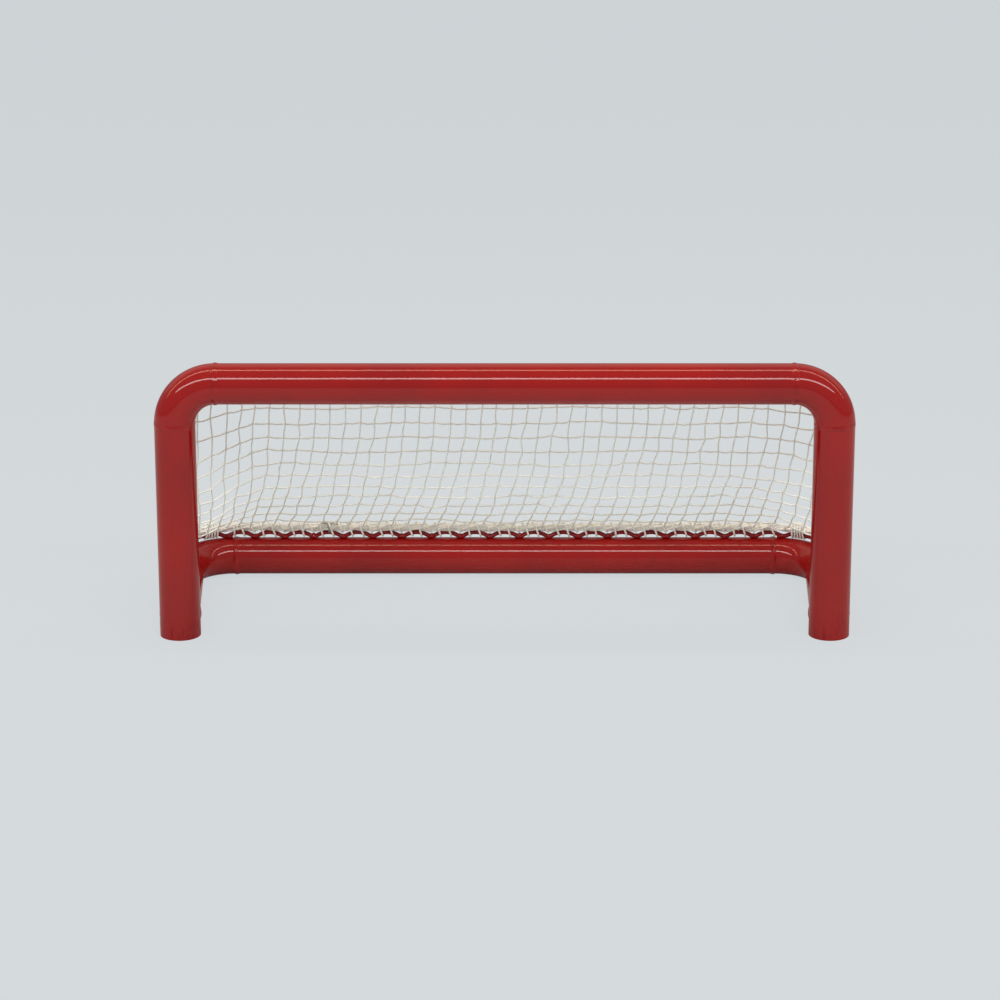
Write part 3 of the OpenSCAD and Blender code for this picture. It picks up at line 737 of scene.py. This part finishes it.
# The net's side view is an arc that sags inwards from the chord between its two ropes
chord = np.array([REAR_Y - FRONT_ROPE_Y, BASE_ROPE_Z - BAR_Z])
chord_len = np.linalg.norm(chord)
inward = np.array([chord[1], -chord[0]]) / chord_len
net_r = (chord_len ** 2 / 4 + NET_SAG ** 2) / (2 * NET_SAG)
net_mid = np.array([(FRONT_ROPE_Y + REAR_Y) / 2, (BAR_Z + BASE_ROPE_Z) / 2])
net_c = net_mid + inward * (NET_SAG - net_r)
top_a = math.atan2(BAR_Z - net_c[1], FRONT_ROPE_Y - net_c[0])
low_a = math.atan2(BASE_ROPE_Z - net_c[1], REAR_Y - net_c[0])


def rope_x(z):
    """How far the front rope is from the goal's middle at a height."""
    if z <= ROPE_BEND_Z:
        return FRONT_ROPE_X
    return BAR_HALF + math.sqrt(max(0, ROPE_BEND_R ** 2 - (z - ROPE_BEND_Z) ** 2))


class Row:
    """One level of the net: a straight back, two bends and two sides, from rope to rope."""

    def __init__(self, k):
        angle = top_a + (low_a - top_a) * k / (ROWS + 1)
        self.k = k
        self.y, self.z = net_c[0] + net_r * math.cos(angle), net_c[1] + net_r * math.sin(angle)
        side_len = (self.y - FRONT_ROPE_Y) / math.cos(FLARE)
        # The upper rows have short sides, which leave room for a tighter bend only
        wanted, space = NET_CORNER_R if k <= ROWS else ROD_BEND_R, 0.98 * side_len
        self.bend_r = min(wanted, max(0.1 * MM, space / math.tan(REAR_BEND / 2)))
        tangent = self.bend_r * math.tan(REAR_BEND / 2)
        corner_x = POST_X + rope_x(self.z) - FRONT_ROPE_X + (self.y - POST_Y) * math.tan(FLARE)
        self.back = corner_x - tangent if k > 0 else BAR_HALF
        side = side_len - tangent
        self.half = self.back + self.bend_r * REAR_BEND + side if k > 0 else BAR_HALF

    def at(self, s):
        """The point at the distance s along the row from the goal's middle."""
        side, s = math.copysign(1, s), min(abs(s), self.half)
        z = self.z
        if 0 < self.k <= ROWS:
            part = min(1, max(0, (s - DROP_FROM) / (DROP_TO - DROP_FROM))) ** DROP_POWER
            middle = LEFT_MIDDLE_DROP * math.sin(0.3 * (self.k - 1))
            z -= part * (LEFT_DROP + middle if side < 0 else RIGHT_DROP) * MM
        elif self.k > ROWS:
            z -= rope_sink(1 - (s - self.back) / (self.bend_r * REAR_BEND)) + rope_sag(s)
        if s <= self.back:
            return np.array([side * s, self.y, z])
        turn = min((s - self.back) / self.bend_r, REAR_BEND)
        left = s - self.back - turn * self.bend_r
        angle = math.pi / 2 - turn
        x = self.back + self.bend_r * math.cos(angle) - left * math.sin(FLARE)
        y = self.y - self.bend_r * (1 - math.sin(angle)) - left * math.cos(FLARE)
        return np.array([side * x, y, z])


levels = [Row(k) for k in range(ROWS + 2)]
net_rng = random.Random(7)


def lean(s, k):
    """How far a column has drifted to the left by row k."""
    t = k / (ROWS + 1)
    return float(np.interp(s, *zip(*LEAN_AT))) * (EVEN_LEAN * t + (1 - EVEN_LEAN) * t * t)


def flutter(s, k):
    """Slow waves in the cloth of the net, and each knot's own error."""
    slow = np.array([math.sin(s * by_place + k * by_row + phase) for by_place, by_row, phase in WAVES])
    own = np.array([net_rng.gauss(0, error) for error in KNOT_ERRORS])
    return (slow * WAVE_SIZES + own) * MM


# A column starts at a head on the front rope and ends at a foot on the base rope, if it reaches it
column_count = int(levels[-1].half / COLUMN_STEP)
knots, heads, feet = {}, {}, {}
for j in range(-column_count, column_count + 1):
    s = j * COLUMN_STEP - COLUMN_SHIFT
    for k in range(ROWS + 2):
        level, place_s = levels[k], s - lean(s, k)
        if abs(place_s) > level.half - (EDGE_MARGIN if k else 0):
            continue
        if j not in heads:
            if k == 0:
                heads[j] = level.at(place_s)
                continue
            upper = levels[k - 1]
            part = (abs(place_s) - upper.half) / (level.half - upper.half)
            z = upper.z + (level.z - upper.z) * min(1, max(0, part))
            heads[j] = np.array([math.copysign(rope_x(z), s), FRONT_ROPE_Y, z])
        if k == ROWS + 1:
            feet[j] = level.at(place_s)
        else:
            knots[k, j] = level.at(place_s) + flutter(s, k)


def smooth_path(points, steps):
    """A smooth curve through points, with the same number of steps between each two."""
    points = np.asarray(points, float)
    padded = np.concatenate([[2 * points[0] - points[1]], points, [2 * points[-1] - points[-2]]])
    t = (np.arange(steps) / steps)[:, None]
    made = []
    for i in range(len(points) - 1):
        a, b, c, d = padded[i:i + 4]
        square, cube = 2 * a - 5 * b + 4 * c - d, 3 * b - a - 3 * c + d
        made.append(0.5 * (2 * b + (c - a) * t + square * t ** 2 + cube * t ** 3))
    return np.concatenate(made + [points[-1:]])


def twine(points, drop, sway, up=(0, 0, 1)):
    """A twine from knot to knot, slightly loose between each two, by a drop and a sway in mm."""
    loose = [points[0]]
    for a, b in zip(points, points[1:]):
        bow = np.array([net_rng.gauss(0, sway) for _ in range(3)]) - [0, 0, drop]
        loose += [(a + b) / 2 + bow * MM * min(1, np.linalg.norm(b - a) / (15 * MM)), b]
    return strand(smooth_path(loose, 3), TWINE_R, TWINE_SIDES, up)


def eyelet(centre, axis):
    """A loop of twine round a rope."""
    axis = np.asarray(axis, float) / np.linalg.norm(axis)
    first = np.cross(axis, (0.3, 0.5, 0.81))
    first /= np.linalg.norm(first)
    second = np.cross(axis, first)
    rings = []
    for turn in (2 * math.pi * i / EYELET_STEPS for i in range(EYELET_STEPS)):
        out = first * math.cos(turn) + second * math.sin(turn)
        rings.append([centre + out * ROPE_R + (out * math.cos(b) + axis * math.sin(b)) * TWINE_R
                      for b in (2 * math.pi * j / TWINE_SIDES for j in range(TWINE_SIDES))])
    lay = [[i * 2.0, j / TWINE_SIDES] for i in range(EYELET_STEPS) for j in range(TWINE_SIDES)]
    return loft(rings, True), np.array(lay)


net_strands = []
for k in range(1, ROWS + 1):
    row = [knots[k, j] for j in range(-column_count, column_count + 1) if (k, j) in knots]
    left, right = (np.array([way * rope_x(z), FRONT_ROPE_Y + 0.5 * MM, z])
                   for way, z in ((-1, row[0][2]), (1, row[-1][2])))
    net_strands.append(twine([left] + row + [right], 0.7, 0.35))
    net_strands += [eyelet(end, (0, 0, 1)) for end in (left, right)]
for j in sorted(heads):
    column = [knots[k, j] for k in range(1, ROWS + 1) if (k, j) in knots]
    ends = [heads[j]] + column + ([feet[j]] if j in feet else [])
    if len(ends) < 2:
        continue
    net_strands.append(twine(ends, 0.1, 0.4, (1, 0, 0)))
    on_bar = abs(heads[j][2] - BAR_Z) < 1 * MM
    net_strands.append(eyelet(heads[j], (1, 0, 0) if on_bar else (0, 0, 1)))
    if j in feet:
        foot_s = j * COLUMN_STEP - COLUMN_SHIFT - lean(j * COLUMN_STEP, ROWS + 1)
        net_strands.append(eyelet(feet[j], feet[j] - levels[-1].at(foot_s - 1 * MM)))

# Each knot is a small lump of four rings with seven sides, of these half sizes in mm
KNOT_SIZES = (1.95, 1.7, 2.0)
KNOT_RINGS, KNOT_SIDES = 4, 7
for centre in knots.values():
    tilt = net_rng.uniform(0, 6.28)
    rings = []
    for angle in (math.pi * i / (KNOT_RINGS + 1) for i in range(KNOT_RINGS, 0, -1)):
        ring = []
        for turn in (2 * math.pi * i / KNOT_SIDES + tilt for i in range(KNOT_SIDES)):
            lump = 1 + 0.16 * math.sin(2 * turn + 4 * math.cos(angle) + tilt)
            out = np.array([
                math.cos(turn) * math.sin(angle), math.sin(turn) * math.sin(angle), math.cos(angle)])
            ring.append(centre + out * KNOT_SIZES * lump * MM)
        rings.append(ring)
    lay = np.array([[i * 0.8, j / KNOT_SIDES] for i in range(KNOT_RINGS) for j in range(KNOT_SIDES)])
    net_strands.append((loft(rings), lay))

TWINE, OLD_TWINE = (0.93, 0.95, 0.91, 1), (0.84, 0.86, 0.79, 1)
twine_fibre = fibre_finish("net_twine", TWINE, OLD_TWINE, 3.2, 2, 0.06 * MM)
net_width, net_length = 2 * levels[-1].half, net_r * (low_a - top_a)
netting = fibre_piece(
    "netting", net_strands, twine_fibre,
    ["net_back", "net_left_side", "net_right_side", "net_left_corner", "net_right_corner"])

# The net is open twine and its sides narrow upwards, so its own area is estimated as 0.38 of the
# rectangle
0.38 * net_width * net_length

# ---- Lacing ----
# A single cream cord per run lashes the rope to its rod. It winds along the rope and dips under
# the rod twice at every hump, beside the crown.
CORD_R, CORD_GAP, END_REACH = 1.3 * MM, 0.2 * MM, 5 * MM
ROD_TURN_STEPS, ROPE_TURN_STEPS = 30, 18

# Each turn's distance from a crown in mm, whether it takes in the rod, and its error in mm
TURNS, TURN_ERROR = ((-7.0, True), (7.0, True), (20.0, False)), 1.8


def lacing(seats, seed):
    """A cord that winds round the rope, and at two turns of three round the rod as well."""
    rng = random.Random(seed)
    near = ROPE_R + 2 * TWINE_R + 0.1 * MM
    path, turns = [], []
    for k in range(seats.humps):
        crown = (k + 0.5) * seats.pitch
        for shift, round_rod in TURNS:
            error = rng.uniform(-TURN_ERROR, TURN_ERROR) * MM
            turns.append((crown + shift * MM * seats.pitch / PITCH + error, round_rod))
    turns.pop()
    for i, (x, round_rod) in enumerate(turns):
        after = turns[i + 1][0] if i + 1 < len(turns) else x + END_REACH
        before = turns[i - 1][0] if i else x - END_REACH
        start_x, end_x = (before + x) / 2, (after + x) / 2
        steps = ROD_TURN_STEPS if round_rod else ROPE_TURN_STEPS
        for n in range(steps):
            a = 2 * math.pi * n / steps
            down = max(0, -math.cos(a))
            here = start_x + (end_x - start_x) * n / steps
            if round_rod:
                # Such a turn goes on along the rope mostly while it is over it
                here = x + (here - x) * (1 - down) * 0.8 + (here - x) * 0.2
                deep = ROPE_LIFT - hump_height(x, seats.pitch) + CORD_R + CORD_GAP
            else:
                deep = near
            sag = rope_sag(here - ROD_HALF) if seats is rear_seats else 0
            lift = ROPE_LIFT - sag + (near if math.cos(a) > 0 else deep - sag) * math.cos(a)
            path.append(seats.at(here, lift, near * math.sin(a)))
    return strand(smooth_path(path[::2] + [path[-1]], 3), CORD_R, CORD_SIDES, seats.along)


cord_fibre = fibre_finish("lacing_cord", CREAM, OLD_CREAM, 3.4, 2, 0.06 * MM)


def lacing_piece(word, seats, seed):
    return fibre_piece(
        word + "_lacing", [lacing(seats, seed)], cord_fibre, [word + "_lacing_cord"])


lacing_piece("rear", rear_seats, 91)
lacing_piece("crossbar", bar_seats, 92)
for side, word in SIDES:
    lacing_piece(word + "_base", side_seats[side], 93 + side)
    lacing_piece(word + "_post", post_seats[side], 97 + side)

# ---- Corner ties ----
# Over each elbow the rope is tied to the corner rod with close turns of cord, finished with a
# knot whose two ends stick out.
TIE_STEPS = 24


def tie(corner, first, last, wraps, seed):
    """Turns of cord round the rope and the rod, from one part of the bend to another."""
    rng = random.Random(seed)
    near = ROPE_R + CORD_R + 0.15 * MM
    rope_lift = ROPE_LIFT - HUMP_RISE + corner.rise
    path = []
    for i in range(wraps * TIE_STEPS + 1):
        t = first + (last - first) * (i / (wraps * TIE_STEPS))
        a = 2 * math.pi * i / TIE_STEPS
        deep = rope_lift - corner.risen(t) + CORD_R + CORD_GAP
        lift = rope_lift + (near * math.cos(a) if math.cos(a) > 0 else deep * math.cos(a))
        path.append(corner.at(t, lift, near * math.sin(a) + rng.uniform(-0.1, 0.1) * MM))

    # A small ball of cord tops the turns, and its two ends stick out to either side
    middle = (first + last) / 2
    knot = [corner.at(middle + 0.03 * math.cos(2 * a + 0.7),
                      rope_lift + near + (1.0 + 1.4 * math.sin(3 * a)) * MM,
                      near * 0.5 + 3.2 * MM * math.sin(a))
            for a in (2 * math.pi * i / TIE_STEPS for i in range(TIE_STEPS))]
    made = [strand(smooth_path(path[::2], 2), CORD_R, CORD_SIDES, corner.out),
            strand(knot, CORD_R, CORD_SIDES, corner.out)]
    for way in (-1, 1):
        tail = [corner.at(middle + 0.02 * way, rope_lift + near + 1 * MM, near * 0.5),
                corner.at(middle + 0.09 * way, rope_lift + near + 3 * MM, near * 0.5 - 4 * MM),
                corner.at(middle + 0.17 * way, rope_lift + 1 * MM, -11 * MM - 2 * way * MM)]
        made.append(strand(smooth_path(tail, 8), CORD_R * 0.9, CORD_SIDES, corner.out))
    return made


# Where each tie starts and ends, as parts of its bend, its turns and its seed
TIES = (("rear", rear_corners, 0.61, 0.87, 5, 101), ("top", top_corners, 0.44, 0.56, 3, 105))
for side, word in SIDES:
    for end, corners, first, last, wraps, seed in TIES:
        fibre_piece(word + "_" + end + "_wraps", tie(corners[side], first, last, wraps, seed + side),
                    cord_fibre, [word + "_" + end + "_tie"])

# ---- Join in the base rope ----
# The base rope's two ends meet left of the middle, behind the goal. A short cord binds them, and
# the ends beside it have frayed and darkened.
JOIN_X = -244 * MM
BINDING_W, BINDING_STEPS, TURN_STEPS = 3.2 * MM, 48, 24
FRAYED, DARK_FRAYED = (0.45, 0.45, 0.34, 1), (0.24, 0.25, 0.18, 1)
HAIRS, HAIR_ROOT_R, HAIR_TIP_R = 11, 0.5 * MM, 0.22 * MM
frayed_fibre = fibre_finish("frayed_rope", FRAYED, DARK_FRAYED, 2.2, 1, 0.03 * MM)
hair_rng = random.Random(111)
joint = np.array([JOIN_X, REAR_Y, BASE_ROPE_Z - rope_sag(JOIN_X)])
around = ROPE_R + TWINE_R + CORD_R
binding = []
for i in range(BINDING_STEPS + 1):
    a = 2 * math.pi * i / TURN_STEPS
    binding.append(joint + np.array(
        [(i / BINDING_STEPS - 0.5) * BINDING_W, -around * math.cos(a), around * math.sin(a)]))
bundle = [strand(binding, CORD_R * 0.6, CORD_SIDES, (1, 0, 0))]
for way in (-1, 1):
    for _ in range(HAIRS):
        root = joint + np.array([way * hair_rng.uniform(0.5, 3.0) * MM, -around * 0.55, around * 0.85])
        tip = root + MM * np.array([
            way * hair_rng.uniform(5.0, 11.0), hair_rng.uniform(-2.0, 0.5), hair_rng.uniform(-1.2, 1.4)])
        bow = MM * np.array([0, hair_rng.uniform(-0.5, 0.2), hair_rng.uniform(0.1, 1.2)])
        hair = smooth_path([root, (root + tip) / 2 + bow, tip], 5)
        bundle.append(strand(hair, np.linspace(HAIR_ROOT_R, HAIR_TIP_R, len(hair)), 5, (0, 1, 0)))
fibre_piece("rope_join", bundle, frayed_fibre)
